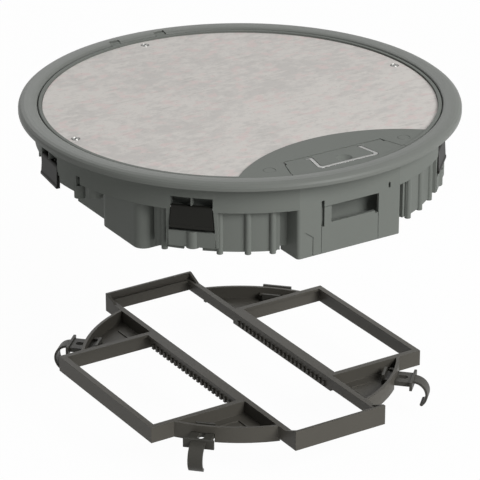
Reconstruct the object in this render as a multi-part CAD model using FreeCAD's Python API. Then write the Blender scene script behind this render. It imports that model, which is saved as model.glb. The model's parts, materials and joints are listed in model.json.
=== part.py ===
import FreeCAD, Part
import math
import os

# Round floor socket box: a flanged cassette for a 305 mm floor cut-out, a hinged lid with a floor-covering
# inlay and a cable outlet flap, and a clip-in mounting frame for device carriers, shown below the cassette.
#
# Frame: millimetres, +Z up, z = 0 is the finished floor under the flange bead, on the cassette's own axis.
# -Y points to the cable outlet, +Y to the lid hinge.

V = FreeCAD.Vector
UP = V(0, 0, 1)
ORIGIN = V(0, 0, 0)

# ---------------------------------------------------------------------------------------------- driving sizes

# Floor cut-out and flange
CUTOUT_RADIUS = 152.5        # the hole that is sawn in the raised floor
CUTOUT_PLAY = 1.5            # play of the cassette in that hole
BODY_RADIUS = CUTOUT_RADIUS - CUTOUT_PLAY    # the cassette; what stands near its wall is set in from it
FLANGE_OVERLAP = 10.0        # how far the bead covers the floor outside the hole
FLANGE_HEIGHT = 5.9          # crest of the bead above the floor
FLANGE_EDGE = 2.3            # height of the bead's upright outer edge
FLANGE_INNER_EDGE = 3.9      # height of its inner edge, at the lid
CREST_INSET = 7.0            # crest of the bead, in from its outer edge
DOME_STEPS = 4               # facets of each slope of the bead
COLLAR_DEPTH = 2.1           # collar of the flange below the floor
SEAT_WIDTH = 8.1             # width of the ledge that carries the lid
SEAT_THICKNESS = 1.2

# Lid
LID_GAP = 0.7                # gap between the lid and the flange, all round
LID_RIM_WIDTH = 2.8          # visible plastic band round the inlay
LID_RIM_TOP = 4.1
LID_RIM_UNDER = 0.9          # underside of the rim above the seat: seal and its play
LID_FLOOR_THICKNESS = 2.0
LID_WALL = 2.4               # centring wall below the rim
LID_WALL_DEPTH = 2.9         # centring wall below the seat
LID_RIB_HEIGHT = 3.8
LID_RIB_THICKNESS = 2.0
LID_RIB_COUNT = 8
LID_RING_RIB = 62.0          # radius of the ring that joins the ribs
PLATE_THICKNESS = 2.0        # steel stiffener under the inlay
INLAY_THICKNESS = 1.2
INLAY_PLAY = 0.3
SEAL_THICKNESS = 0.6
SEAL_INSET = 1.5
LID_SCREW_RADIUS = BODY_RADIUS - 13.2     # pitch radius of the three lid screws
LID_SCREW_ANGLES = (0.0, 90.0, 180.0)
SCREW_HEAD_RADIUS = 3.3
SCREW_HEAD_PROUD = 0.25      # above the inlay
SCREW_SHANK_RADIUS = 1.3
SCREW_PLAY = 0.1

# Lid hinge, on the flange behind the lid
HINGE_Y = BODY_RADIUS - 1.0
HINGE_Z = 3.4
HINGE_LUG_X = 20.0
HINGE_LUG_WIDTH = 8.0
HINGE_BARREL_RADIUS = 1.5
HINGE_PIN_RADIUS = 0.9
HINGE_PIN_LENGTH = 16.0
HINGE_PLAY = 0.05

# Cable outlet in the lid
OUTLET_X = 3.6               # the outlet, its flap and its plugs sit beside the cassette's axis
OUTLET_ARC_RADIUS = 120.0    # inner edge of the plastic segment at the outlet
OUTLET_ARC_APEX = BODY_RADIUS - 61.0       # that edge's nearest point to the lid's centre
OUTLET_TOP = 3.4
OUTLET_SKIN = 2.4
FLAP_INNER_Y = 35.5 - BODY_RADIUS        # inner edge of the notch for the flap
FLAP_HALF_WIDTH = 41.0       # half the notch at that edge
FLAP_FLARE = 0.325           # widening of the notch for each mm towards the lid's edge
FLAP_GAP = 0.4
FLAP_SWING = 3.6             # the flap is no wider than its barrel this near to its axis
FLAP_BARREL_RADIUS = 1.4
FLAP_PIN_RADIUS = 0.8
FLAP_PIN_LENGTH = 9.0
FLAP_PLATE = 3.4             # thickness of the flap's top plate
FLAP_SKIRT_DEPTH = 2.2       # wall round the flap's foam pad
FLAP_SKIRT_WALL = 2.2
PLUG_X = 56.7
PLUG_Y = 28.0 - BODY_RADIUS
PLUG_RADIUS = 4.4
PLUG_DEPTH = 2.1

# Bail handle in the flap
BAIL_HINGE_Y = 30.8 - BODY_RADIUS
BAIL_HINGE_HALF = 22.0       # outer half width at the pivots
BAIL_BAR_HALF = 25.6         # outer half width at the cross bar
BAIL_BAR_Y = 12.0 - BODY_RADIUS          # outer edge of the cross bar
BAIL_STOCK = 2.4             # width of the flat bar it is bent from
BAIL_THICKNESS = 2.2
BAIL_CORNER = 3.2
BAIL_PIVOT_RADIUS = 1.1
BAIL_PIVOT_LENGTH = 3.0
BAIL_PLAY = 0.45
DISH_RADIUS = 9.0            # finger dish behind the cross bar
DISH_DEPTH = 2.2

# Cassette
WALL = 2.4
SKIRT_DEPTH = 21.3
SHELF_THICKNESS = 2.4
ARC_RADIUS = BODY_RADIUS - 5.0           # outer face of the ribbed walls between the towers
ARC_DEPTH = 52.5
ARC_GAP_ANGLE = 22.0         # end of a ribbed wall, from the tower's axis
ARC_SPAN = 33.5
TOWER_DEPTH = 58.8
TOWER_FACE = BODY_RADIUS - 6.0           # flat face of the end towers
TOWER_HALF_WIDTH = 43.5
TOWER_CORNER = 2.5
TOWER_RETURN = 22.0          # length of a tower's side walls
SIDE_FACE = BODY_RADIUS - 21.0            # flat face of the side bays, at their front
SIDE_SETBACK = 6.0           # how far the rest of a side bay is set back
SIDE_STEP_Y = -19.0          # where it steps back
SIDE_SHALLOW_Y = 24.0        # behind this the bay is shallower
SIDE_DEPTH = 57.5
SIDE_REAR_DEPTH = 45.0
SIDE_HALF_WIDTH = 75.0
SIDE_RETURN = 22.0
SIDE_CORNER = 8.0
SIDE_BLOCK_ANGLES = (179.5, 187.0)   # block under the skirt at the left, and its depth
SIDE_BLOCK_DEPTH = 28.5
SIDE_BOSS = (187.3, BODY_RADIUS - 4.0, 4.0, 33.5)    # angle, radius, own radius and depth of the boss beside it
SIDE_KNOB = (193.5, BODY_RADIUS - 5.5, 5.5, 28.3)    # the same for the knob beside the boss
SIDE_SLOT = (188.6, 2.2, 15.7, 23.5)     # angle, half width, upper and lower end of the slot
RIB_RADIUS = 2.3
RIB_OVERHANG = 1.5
RIB_ANGLES = (23.1, 29.9, 37.6)  # ribs on a ribbed wall, from the tower's axis
POST_ANGLE = 53.2
RECESS_RADIUS = BODY_RADIUS - 12.6        # outer face of the recesses beside the towers and bays
TOWER_RECESS = (17.5, 22.5)  # their ends, from the tower's axis
BAY_RECESS = (54.5, 57.4)
SEAT_RIB_LENGTH = 9.0        # ribs in the tower corners that stop the mounting frame
SEAT_RIB_REACH = 11.0
FRAME_SEAT = 30.0            # depth of their lower ends

# Outlet panel in the front tower
PANEL_LEFT = -23.9
PANEL_RIGHT = 24.4
PANEL_PLAY = 0.3
PANEL_SLOT_WIDTH = 2.4
PANEL_SLOT_TOP = 18.6
PANEL_SLOT_BOTTOM = 38.3
PANEL_FLANGE = 1.7
PANEL_FLANGE_REACH = 3.0
PANEL_NOTCH = (2.8, 1.8)     # width and height of the notch in the window's lower right corner
TOWER_HOLE_X = 33.4          # small oval hole beside the panel
TOWER_HOLE_DEPTH = 19.2
TOWER_HOLE_RADIUS = 0.8
TOWER_HOLE_HEIGHT = 4.3
WINDOW_LEFT = -15.5
WINDOW_TOP = 23.4
WINDOW_BOTTOM = 36.2
TOWER_LINE_X = -31.1         # fine step in the tower's face beside the panel
TOWER_LINE_TOP = 44.9
TOWER_LINE_WIDTH = 0.5
TOWER_LINE_RISE = (6.0, 4.7)     # the step's slanting upper end: sideways and up
BAFFLE_Y = 21.3 - BODY_RADIUS            # wall behind the cable window
BAFFLE_HALF_WIDTH = 33.0
BAFFLE_WALL = 1.6
BAFFLE_DEPTH = 45.0

# Claws that clamp the cassette to the floor, from below
CLAW_ANGLES = {"front_left": 225.0, "front_right": 315.0, "side_left": 172.5, "side_right": 7.5}
CLAW_TOP_WIDTH = 29.0
CLAW_WIDTH = 31.5            # at the lower edge
CLAW_THICKNESS = 2.4
CLAW_HINGE_RADIUS = BODY_RADIUS - 2.6
CLAW_HINGE_DEPTH = 19.6
CLAW_BARREL_RADIUS = 2.0
CLAW_PIN_RADIUS = 1.0
CLAW_FLARE = 0.6             # how far the lower edge stands outside the hinge
CLAW_REACH = 14.8            # lower edge below the hinge
CLAW_LIP = 0.5
CLAW_LIP_HEIGHT = 1.9
CLAW_BAY_PLAY = 0.6
CLAW_BAY_TOP = 11.1          # upper edge of a claw bay, below the floor
CLAW_CHEEK = 2.2
CHEEK_INSET = 0.4            # cheeks and posts behind the skirt's face
SIDE_CHEEK_DEPTH = 24.0
BAY_BACK_RADIUS = BODY_RADIUS - 8.6      # back wall of a claw bay
BAY_BACK_WALL = 1.6
BAY_POST = 1.0               # thickness of the post in the middle of a claw bay
BAY_POST_GAP = 0.4
CLAW_BLOCK_TOP = 36.9
CLAW_BLOCK_BOTTOM = 48.6
CLAW_BLOCK_OUT = 4.0
BLOCK_ROUND_RADIUS = 5.0     # half-round middle of a latch block
BLOCK_ROUND_CENTRE = BODY_RADIUS - 4.4
CLAW_SCREW_DEPTH = 26.5
CLAW_SCREW_RADIUS = 2.0
CLAW_SCREW_HEAD_RADIUS = 3.6
CLAW_SCREW_HEAD_HEIGHT = 2.6
CLAW_SCREW_TIP = 1.6
CLAW_SCREW_TRAVEL = 4.0
CLAW_SCREW_GAP = 0.6         # between a screw's tip and its claw at rest
CLAW_BOSS_RADIUS = 4.6
CLAW_BOSS_LENGTH = 8.0

# Mounting frame, on its own body
FRAME_TOP = -203.9           # top of the frame when it hangs clear below the cassette
FRAME_HALF_LENGTH = BODY_RADIUS - 13.0
FRAME_HALF_WIDTH = 39.1
SIDE_FRAME_HALF_LENGTH = 69.0
SIDE_FRAME_EDGE = BODY_RADIUS - 31.8
FRAME_FLANGE = 4.5           # width of the rim that the carriers rest on
FRAME_FLANGE_THICKNESS = 2.0
FRAME_WEB = 2.2
FRAME_DEPTH = 10.1           # depth of the long middle walls
SIDE_FRAME_DEPTH = 12.4
END_RISE = 5.2               # how far the end walls stand above the rim
END_SLOPE_LENGTH = 14.0
FRAME_ARC_RADIUS = BODY_RADIUS - 29.5
FRAME_ARC_WALL = 2.4
POCKET_FLOOR_DEPTH = 9.7
POCKET_FLOOR = 1.4
POCKET_RIB = 0.9
TOOTH_PITCH = 5.5
TOOTH_COUNT = 23
TOOTH_LENGTH = 2.8
TOOTH_HEIGHT = 4.2
TOOTH_REACH = 1.3
TOOTH_DROP = 1.0

# Latches of the mounting frame
LATCH_ANGLES = {"front_left": 225.0, "front_right": 315.0, "rear_left": 135.0, "rear_right": 45.0}
LATCH_TAB_RADIUS = BODY_RADIUS - 38.0
LATCH_PLATE_RADIUS = BODY_RADIUS - 18.0
LATCH_SLIDER_WIDTH = 17.0
LATCH_SLIDER_TOP = 5.8       # below the frame's rim
LATCH_SLIDER_THICKNESS = 3.6
LATCH_SLIDER_PLAY = 0.35
LATCH_SLOT_WIDTH = 5.0
LATCH_PLATE_WIDTH = 23.0
LATCH_PLATE_HEIGHT = 7.0
LATCH_PLATE_THICKNESS = 2.0
LATCH_TAB_WIDTH = 14.5
LATCH_TAB_RISE = 3.6
LATCH_LEAF_WIDTH = 11.0
LATCH_LEAF_THICKNESS = 1.8
LATCH_LEAF_RADIUS = 11.5     # outer radius of the curled spring leaf
LATCH_LEAF_ANGLE = 138.0     # how far the leaf curls
LATCH_BEAD_RADIUS = 1.3
LATCH_POCKET_PLAY = 1.2
LATCH_RAIL = 1.6             # guide rails of a latch, and their lips
LATCH_LIP = 1.1

# ------------------------------------------------------------------------------------------- derived sizes

FLANGE_RADIUS = CUTOUT_RADIUS + FLANGE_OVERLAP
FLANGE_INNER = BODY_RADIUS - WALL
SEAT_Z = SEAT_THICKNESS - COLLAR_DEPTH
SEAT_INNER = FLANGE_INNER - SEAT_WIDTH

LID_RADIUS = FLANGE_INNER - LID_GAP
LID_RIM_INNER = LID_RADIUS - LID_RIM_WIDTH
LID_UNDER_Z = SEAT_Z + LID_RIM_UNDER
LID_WALL_RADIUS = SEAT_INNER - LID_GAP
LID_WALL_INNER = LID_WALL_RADIUS - LID_WALL
INLAY_RADIUS = LID_RIM_INNER - INLAY_PLAY
INLAY_Z = LID_UNDER_Z + 1.5
INLAY_TOP = INLAY_Z + INLAY_THICKNESS
PLATE_Z = INLAY_Z - PLATE_THICKNESS
LID_FLOOR_Z = PLATE_Z - LID_FLOOR_THICKNESS
OUTLET_ARC_Y = -(OUTLET_ARC_APEX + OUTLET_ARC_RADIUS)

FLAP_AXIS_Y = FLAP_INNER_Y - FLAP_GAP - FLAP_BARREL_RADIUS
FLAP_AXIS_Z = OUTLET_TOP - FLAP_BARREL_RADIUS
FLAP_UNDER_Z = OUTLET_TOP - FLAP_PLATE
BAIL_UNDER_Z = OUTLET_TOP - BAIL_THICKNESS
BAIL_AXIS_Z = OUTLET_TOP - BAIL_PIVOT_RADIUS

SHELF_INNER = SEAT_INNER
SHELF_Z = SHELF_THICKNESS - SKIRT_DEPTH
SIDE_INNER = SIDE_FACE - SIDE_SETBACK - WALL     # inner face of the set-back part of the side bays

CLAW_TOP_Z = CLAW_BARREL_RADIUS - CLAW_HINGE_DEPTH
CLAW_FOOT_Z = -CLAW_HINGE_DEPTH - CLAW_REACH

END_TOP = FRAME_TOP + END_RISE
FRAME_TRAVEL = -FRAME_SEAT - 0.3 - END_TOP
TOOTHED_HALF = SIDE_FRAME_HALF_LENGTH - FRAME_FLANGE


# ----------------------------------------------------------------------------------------------- helpers

def box(x0, x1, y0, y1, z0, z1):
    """A box between two corners."""
    return Part.makeBox(x1 - x0, y1 - y0, z1 - z0, V(x0, y0, z0))


def disc(radius, z0, z1, x=0.0, y=0.0):
    """An upright cylinder."""
    return Part.makeCylinder(radius, z1 - z0, V(x, y, z0), UP)


def ring(outer, inner, z0, z1):
    """An upright tube about the box's axis."""
    return disc(outer, z0, z1).cut(disc(inner, z0 - 1, z1 + 1))


def rod_x(radius, x0, x1, y, z):
    """A cylinder along X."""
    return Part.makeCylinder(radius, x1 - x0, V(x0, y, z), V(1, 0, 0))


def rod_y(radius, y0, y1, x, z):
    """A cylinder along Y."""
    return Part.makeCylinder(radius, y1 - y0, V(x, y0, z), V(0, 1, 0))


def prism(points, z0, z1):
    """A polygon of (x, y) points, drawn up from z0 to z1."""
    wire = Part.makePolygon([V(x, y, z0) for x, y in points] + [V(points[0][0], points[0][1], z0)])
    return Part.Face(wire).extrude(V(0, 0, z1 - z0))


def face_profile(points, r0, r1):
    """A polygon of (y, z) points in the plane x = r0, drawn out to x = r1."""
    wire = Part.makePolygon([V(r0, y, z) for y, z in points + points[:1]])
    return Part.Face(wire).extrude(V(r1 - r0, 0, 0))


def front_profile(points, y0, y1):
    """A polygon of (x, z) points in the plane y = y0, drawn back to y = y1."""
    wire = Part.makePolygon([V(x, y0, z) for x, z in points + points[:1]])
    return Part.Face(wire).extrude(V(0, y1 - y0, 0))


def radial_profile(points, half_width):
    """A polygon of (radius, z) points in the XZ plane, as wide as given along Y."""
    wire = Part.makePolygon([V(r, -half_width, z) for r, z in points + points[:1]])
    return Part.Face(wire).extrude(V(0, 2 * half_width, 0))


def revolved(edges):
    """A closed profile of edges in the XZ plane, turned about Z."""
    return Part.Face(Part.Wire(edges)).revolve(ORIGIN, UP, 360)


def line(a, b):
    return Part.LineSegment(V(a[0], 0, a[1]), V(b[0], 0, b[1])).toShape()


def arc(a, through, b):
    return Part.Arc(V(a[0], 0, a[1]), V(through[0], 0, through[1]), V(b[0], 0, b[1])).toShape()


def turned(shape, angle):
    """A copy of the shape, turned about the box's axis."""
    copy = shape.copy()
    copy.rotate(ORIGIN, UP, angle)
    return copy


def mirrored_x(shape):
    return shape.mirror(ORIGIN, V(1, 0, 0))


def mirrored_y(shape):
    return shape.mirror(ORIGIN, V(0, 1, 0))


def both_sides(shape):
    """The shape and its mirror image across the YZ plane."""
    return [shape, mirrored_x(shape)]


def at_outlet(shapes):
    """Copies of shapes drawn about the YZ plane, moved to the cable outlet."""
    copies = [s.copy() for s in shapes]
    for copy in copies:
        copy.translate(V(OUTLET_X, 0, 0))
    return copies


def four_ways(shape):
    """The shape and its mirror images in the four quadrants."""
    pair = both_sides(shape)
    return pair + [mirrored_y(s) for s in pair]


def union(shapes):
    shapes = list(shapes)
    return shapes[0].multiFuse(shapes[1:]).removeSplitter()


def minus(shape, tools):
    return shape.cut(list(tools)).removeSplitter()


def edges_along(shape, direction, test):
    """The shape's straight edges along a direction whose middle passes the test."""
    found = []
    for edge in shape.Edges:
        if isinstance(edge.Curve, Part.Line) and edge.Curve.Direction.cross(direction).Length < 1e-6:
            if test(edge.CenterOfMass):
                found.append(edge)
    return found


def upright_rounded(shape, radius, test=lambda p: True):
    """The shape with its upright edges rounded."""
    return shape.makeFillet(radius, edges_along(shape, UP, test))


def wedge(angle0, angle1, radius, z0, z1):
    """A sector of a disc between two angles."""
    mid = (angle0 + angle1) / 2
    reach = radius / math.cos(math.radians((angle1 - angle0) / 2))
    points = [(0, 0)] + [(reach * math.cos(math.radians(a)), reach * math.sin(math.radians(a)))
                         for a in (angle0, mid, angle1)]
    return disc(radius, z0, z1).common(prism(points, z0, z1))


# ------------------------------------------------------------------------------------------------- flange

def dome_slope(start, end):
    """Points on a quarter of an ellipse between a point and the next, which is level with the crest."""
    crest, edge = (end, start) if end[1] > start[1] else (start, end)
    points = []
    for step in range(1, DOME_STEPS + 1):
        part = step / DOME_STEPS if crest is end else 1 - step / DOME_STEPS
        turn = math.radians(90 * part)
        points.append((edge[0] + (crest[0] - edge[0]) * (1 - math.cos(turn)),
                       edge[1] + (crest[1] - edge[1]) * math.sin(turn)))
    return points


def bead():
    """The domed ring that lies on the floor, its collar and the ledge that carries the lid."""
    crest = (FLANGE_RADIUS - CREST_INSET, FLANGE_HEIGHT)
    outer = (FLANGE_RADIUS, FLANGE_EDGE)
    inner = (FLANGE_INNER, FLANGE_INNER_EDGE)
    points = [inner, (FLANGE_INNER, SEAT_Z), (SEAT_INNER, SEAT_Z), (SEAT_INNER, -COLLAR_DEPTH),
              (BODY_RADIUS, -COLLAR_DEPTH), (BODY_RADIUS, 0), (FLANGE_RADIUS, 0), outer]
    for end, other in ((crest, outer), (inner, crest)):
        points += dome_slope(other, end)
    return revolved([line(a, b) for a, b in zip(points, points[1:])])


def lug_notch():
    half = HINGE_LUG_WIDTH / 2 + 0.35
    return box(HINGE_LUG_X - half, HINGE_LUG_X + half, FLANGE_INNER - 6, HINGE_Y + HINGE_BARREL_RADIUS + 0.5,
               HINGE_Z - HINGE_BARREL_RADIUS - 0.3, FLANGE_HEIGHT + 1)


def hinge_pin(radius):
    half = HINGE_PIN_LENGTH / 2
    return rod_x(radius, HINGE_LUG_X - half, HINGE_LUG_X + half, HINGE_Y, HINGE_Z)


def flange_ring():
    return minus(bead(), both_sides(lug_notch()) + both_sides(hinge_pin(HINGE_PIN_RADIUS)))


def hinge_pins():
    return both_sides(hinge_pin(HINGE_PIN_RADIUS))


def lid_seal():
    """Foam ring between the lid's rim and the ledge."""
    return ring(LID_RADIUS - SEAL_INSET, SEAT_INNER + SEAL_INSET, SEAT_Z, SEAT_Z + SEAL_THICKNESS)


# --------------------------------------------------------------------------------------------------- lid

def flap_notch(gap, outer_radius, z0, z1):
    """The notch in the lid's edge that the flap fills, narrower all round by the gap."""
    y_in = FLAP_INNER_Y - gap
    y_out = -FLANGE_RADIUS
    half_in = FLAP_HALF_WIDTH - gap
    half_out = half_in + FLAP_FLARE * (y_in - y_out)
    sector = prism([(-half_in, y_in), (half_in, y_in), (half_out, y_out), (-half_out, y_out)], z0, z1)
    sector, = at_outlet([sector])
    return sector.common(disc(outer_radius, z0, z1))


def outlet_segment(arc_radius, radius, z0, z1):
    """The lens between the lid's edge and the outlet's inner arc."""
    return disc(radius, z0, z1).common(disc(arc_radius, z0, z1, OUTLET_X, OUTLET_ARC_Y))


def lid_screw_places():
    for angle in LID_SCREW_ANGLES:
        turn = math.radians(angle)
        yield LID_SCREW_RADIUS * math.cos(turn), LID_SCREW_RADIUS * math.sin(turn)


def lid_ribs():
    """Stiffening ribs under the lid's floor."""
    top, bottom = LID_FLOOR_Z, LID_FLOOR_Z - LID_RIB_HEIGHT
    half = LID_RIB_THICKNESS / 2
    reach = LID_WALL_INNER + 0.5
    spokes = [turned(box(LID_RING_RIB, reach, -half, half, bottom, top), 360 * (i + 0.5) / LID_RIB_COUNT)
              for i in range(LID_RIB_COUNT)]
    middle = ring(LID_RING_RIB + half, LID_RING_RIB - half, bottom, top)
    wall = ring(LID_WALL_RADIUS, LID_WALL_INNER, SEAT_Z - LID_WALL_DEPTH, top)
    return spokes + [middle, wall]


def hinge_lug():
    """Lug on the lid's rim that the hinge pin goes through."""
    half = HINGE_LUG_WIDTH / 2
    x0, x1 = HINGE_LUG_X - half, HINGE_LUG_X + half
    neck = box(x0, x1, LID_RIM_INNER - 2, HINGE_Y, HINGE_Z - HINGE_BARREL_RADIUS + 0.1, LID_RIM_TOP)
    neck = neck.cut(disc(LID_RIM_INNER + 0.8, -5, 5))
    barrel = rod_x(HINGE_BARREL_RADIUS, x0, x1, HINGE_Y, HINGE_Z)
    bore = rod_x(HINGE_PIN_RADIUS + HINGE_PLAY, x0 - 1, x1 + 1, HINGE_Y, HINGE_Z)
    return neck.fuse(barrel).cut(bore)


def flap_pin(radius):
    x0 = FLAP_HALF_WIDTH - FLAP_PIN_LENGTH / 2
    return rod_x(radius, x0, x0 + FLAP_PIN_LENGTH, FLAP_AXIS_Y, FLAP_AXIS_Z)


def lid_tray():
    """Plastic carrier of the lid: rim, floor, ribs, the outlet segment and the hinge lugs."""
    profile = [(0, LID_FLOOR_Z), (LID_WALL_RADIUS, LID_FLOOR_Z), (LID_WALL_RADIUS, LID_UNDER_Z),
               (LID_RADIUS, LID_UNDER_Z), (LID_RADIUS, LID_RIM_TOP - 0.5), (LID_RADIUS - 0.5, LID_RIM_TOP),
               (LID_RIM_INNER, LID_RIM_TOP), (LID_RIM_INNER, INLAY_Z), (LID_WALL_INNER, INLAY_Z),
               (LID_WALL_INNER, PLATE_Z), (0, PLATE_Z)]
    body = revolved([line(a, b) for a, b in zip(profile, profile[1:] + profile[:1])])
    segment = [outlet_segment(OUTLET_ARC_RADIUS, LID_WALL_RADIUS, LID_FLOOR_Z, OUTLET_TOP),
               outlet_segment(OUTLET_ARC_RADIUS, LID_RIM_INNER + 0.5, LID_UNDER_Z, OUTLET_TOP)]
    body = union([body] + segment + lid_ribs() + both_sides(hinge_lug()))
    hollow = outlet_segment(OUTLET_ARC_RADIUS - OUTLET_SKIN, LID_WALL_INNER, LID_FLOOR_Z - 5,
                            OUTLET_TOP - OUTLET_SKIN)
    hollow = hollow.cut(flap_notch(-OUTLET_SKIN, FLANGE_RADIUS, LID_FLOOR_Z - 6, OUTLET_TOP))
    cuts = [hollow, flap_notch(0, FLANGE_RADIUS, LID_FLOOR_Z - 6, LID_RIM_TOP + 1)]
    cuts += at_outlet(both_sides(flap_pin(FLAP_PIN_RADIUS)))
    cuts += at_outlet(both_sides(disc(PLUG_RADIUS + SCREW_PLAY, OUTLET_TOP - PLUG_DEPTH, LID_RIM_TOP,
                                      PLUG_X, PLUG_Y)))
    cuts += [disc(SCREW_SHANK_RADIUS + SCREW_PLAY, LID_FLOOR_Z - 8, INLAY_TOP, x, y)
             for x, y in lid_screw_places()]
    return minus(body, cuts)


def lid_plate():
    """Steel plate that stiffens the lid under the inlay."""
    body = disc(LID_WALL_INNER - INLAY_PLAY, PLATE_Z, INLAY_Z)
    cuts = [disc(OUTLET_ARC_RADIUS + INLAY_PLAY, PLATE_Z - 1, INLAY_Z + 1, OUTLET_X, OUTLET_ARC_Y)]
    cuts += [disc(SCREW_SHANK_RADIUS + SCREW_PLAY, PLATE_Z - 1, INLAY_Z + 1, x, y)
             for x, y in lid_screw_places()]
    return minus(body, cuts)


def lid_inlay():
    """Piece of the floor covering that is laid into the lid."""
    body = disc(INLAY_RADIUS, INLAY_Z, INLAY_TOP)
    cuts = [disc(OUTLET_ARC_RADIUS + INLAY_PLAY, INLAY_Z - 1, INLAY_TOP + 1, OUTLET_X, OUTLET_ARC_Y)]
    cuts += [disc(SCREW_HEAD_RADIUS + SCREW_PLAY, INLAY_Z - 1, INLAY_TOP + 1, x, y)
             for x, y in lid_screw_places()]
    return minus(body, cuts)


def lid_screws():
    """Three screws that hold the plate and the inlay in the tray."""
    screws = []
    for x, y in lid_screw_places():
        head = disc(SCREW_HEAD_RADIUS, INLAY_Z, INLAY_TOP + SCREW_HEAD_PROUD, x, y)
        shank = disc(SCREW_SHANK_RADIUS, SEAT_Z - LID_WALL_DEPTH + INLAY_PLAY, INLAY_Z, x, y)
        screws.append(head.fuse(shank))
    return screws


def outlet_plugs():
    """Round plugs over the fixings of the outlet segment."""
    plug = disc(PLUG_RADIUS, OUTLET_TOP - PLUG_DEPTH, OUTLET_TOP, PLUG_X, PLUG_Y)
    plug = plug.makeChamfer(0.3, [e for e in plug.Edges if e.CenterOfMass.z > OUTLET_TOP - 0.1])
    return at_outlet(both_sides(plug))


def flap_pins():
    return at_outlet(both_sides(flap_pin(FLAP_PIN_RADIUS)))


def bail_outline(extra):
    """The bail's U seen from above: outer and inner half widths at the pivots and at the cross bar."""
    outer = [(-BAIL_HINGE_HALF - extra, BAIL_HINGE_Y + extra), (BAIL_HINGE_HALF + extra, BAIL_HINGE_Y + extra),
             (BAIL_BAR_HALF + extra, BAIL_BAR_Y - extra), (-BAIL_BAR_HALF - extra, BAIL_BAR_Y - extra)]
    inset = BAIL_STOCK + extra
    slope = (BAIL_BAR_HALF - BAIL_HINGE_HALF) / (BAIL_HINGE_Y - BAIL_BAR_Y)
    inner_y = BAIL_BAR_Y + inset
    start_y = BAIL_HINGE_Y + extra + 1
    inner_half = BAIL_HINGE_HALF - inset - slope * (start_y - BAIL_HINGE_Y)
    bar_half = BAIL_HINGE_HALF - inset + slope * (BAIL_HINGE_Y - inner_y)
    inner = [(-inner_half, start_y), (inner_half, start_y), (bar_half, inner_y), (-bar_half, inner_y)]
    return outer, inner


def bail_body(extra, z0, z1):
    """The bail's bent bar, or the groove for it when made larger by the extra."""
    outer, inner = bail_outline(extra)
    near_bar = lambda p: p.y < BAIL_HINGE_Y - 8
    solid = upright_rounded(prism(outer, z0, z1), BAIL_CORNER + extra, near_bar)
    hole = upright_rounded(prism(inner, z0 - 1, z1 + 1), BAIL_CORNER - BAIL_STOCK / 2, near_bar)
    return solid.cut(hole)


def bail_end_room():
    """Room in the flap for the rounded end of a bail's leg."""
    return box(BAIL_HINGE_HALF - BAIL_STOCK - BAIL_PLAY, BAIL_HINGE_HALF + BAIL_PLAY, BAIL_HINGE_Y - 2,
               BAIL_HINGE_Y + BAIL_PIVOT_RADIUS + BAIL_PLAY, BAIL_UNDER_Z - BAIL_PLAY, LID_RIM_TOP + 2)


def bail_handle():
    """Steel bail that lifts the lid, with a pivot stub on each leg."""
    body = bail_body(0, BAIL_UNDER_Z, OUTLET_TOP)
    leg_in = BAIL_HINGE_HALF - BAIL_STOCK
    stub = rod_x(BAIL_PIVOT_RADIUS, leg_in, BAIL_HINGE_HALF + BAIL_PIVOT_LENGTH, BAIL_HINGE_Y, BAIL_AXIS_Z)
    return union(at_outlet([body] + both_sides(stub)))


def outlet_flap():
    """Flap over the cable outlet, with the groove and the finger dish of the bail."""
    plate = flap_notch(FLAP_GAP, LID_RADIUS, FLAP_UNDER_Z, OUTLET_TOP)
    half = FLAP_HALF_WIDTH - FLAP_GAP
    ends = [box(x0, x1, FLAP_AXIS_Y - FLAP_SWING, FLAP_INNER_Y + 1, FLAP_UNDER_Z - 1, LID_RIM_TOP + 1)
            for x0, x1 in ((-60, -half), (half, 60))]
    hinge_room = box(-60, 60, FLAP_AXIS_Y, FLAP_INNER_Y + 1, FLAP_UNDER_Z - 1, OUTLET_TOP + 1)
    plate = plate.cut(at_outlet(ends + [hinge_room]))
    under_barrel = box(-60, 60, FLAP_AXIS_Y - FLAP_BARREL_RADIUS, FLAP_AXIS_Y, FLAP_UNDER_Z - 1,
                       FLAP_AXIS_Z - FLAP_BARREL_RADIUS + 0.1)
    rim = flap_notch(FLAP_GAP, LID_RADIUS, OUTLET_TOP - 1, LID_RIM_TOP).cut(
        disc(LID_RIM_INNER, OUTLET_TOP - 2, LID_RIM_TOP + 1))
    barrel = rod_x(FLAP_BARREL_RADIUS, OUTLET_X - half, OUTLET_X + half, FLAP_AXIS_Y, FLAP_AXIS_Z)
    lower_z = FLAP_UNDER_Z - FLAP_SKIRT_DEPTH
    skirt = flap_notch(FLAP_GAP + FLAP_BARREL_RADIUS * 2, LID_WALL_RADIUS, lower_z, FLAP_UNDER_Z)
    pad_room = flap_notch(FLAP_GAP + FLAP_BARREL_RADIUS * 2 + FLAP_SKIRT_WALL,
                          LID_WALL_RADIUS - FLAP_SKIRT_WALL, lower_z - 1, FLAP_UNDER_Z)
    body = union([plate.cut(under_barrel), rim, barrel, skirt.cut(pad_room)])
    groove = bail_body(BAIL_PLAY, BAIL_UNDER_Z - BAIL_PLAY, LID_RIM_TOP + 2)
    socket = rod_x(BAIL_PIVOT_RADIUS + HINGE_PLAY, BAIL_HINGE_HALF, BAIL_HINGE_HALF + BAIL_PIVOT_LENGTH + 0.3,
                   BAIL_HINGE_Y, BAIL_AXIS_Z)
    dish = Part.makeSphere(DISH_RADIUS, V(0, BAIL_BAR_Y + BAIL_STOCK + 5.0,
                                          OUTLET_TOP + DISH_RADIUS - DISH_DEPTH))
    pivots = both_sides(socket) + both_sides(flap_pin(FLAP_PIN_RADIUS + HINGE_PLAY))
    return minus(body, at_outlet([groove, dish] + both_sides(bail_end_room()) + pivots))


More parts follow.
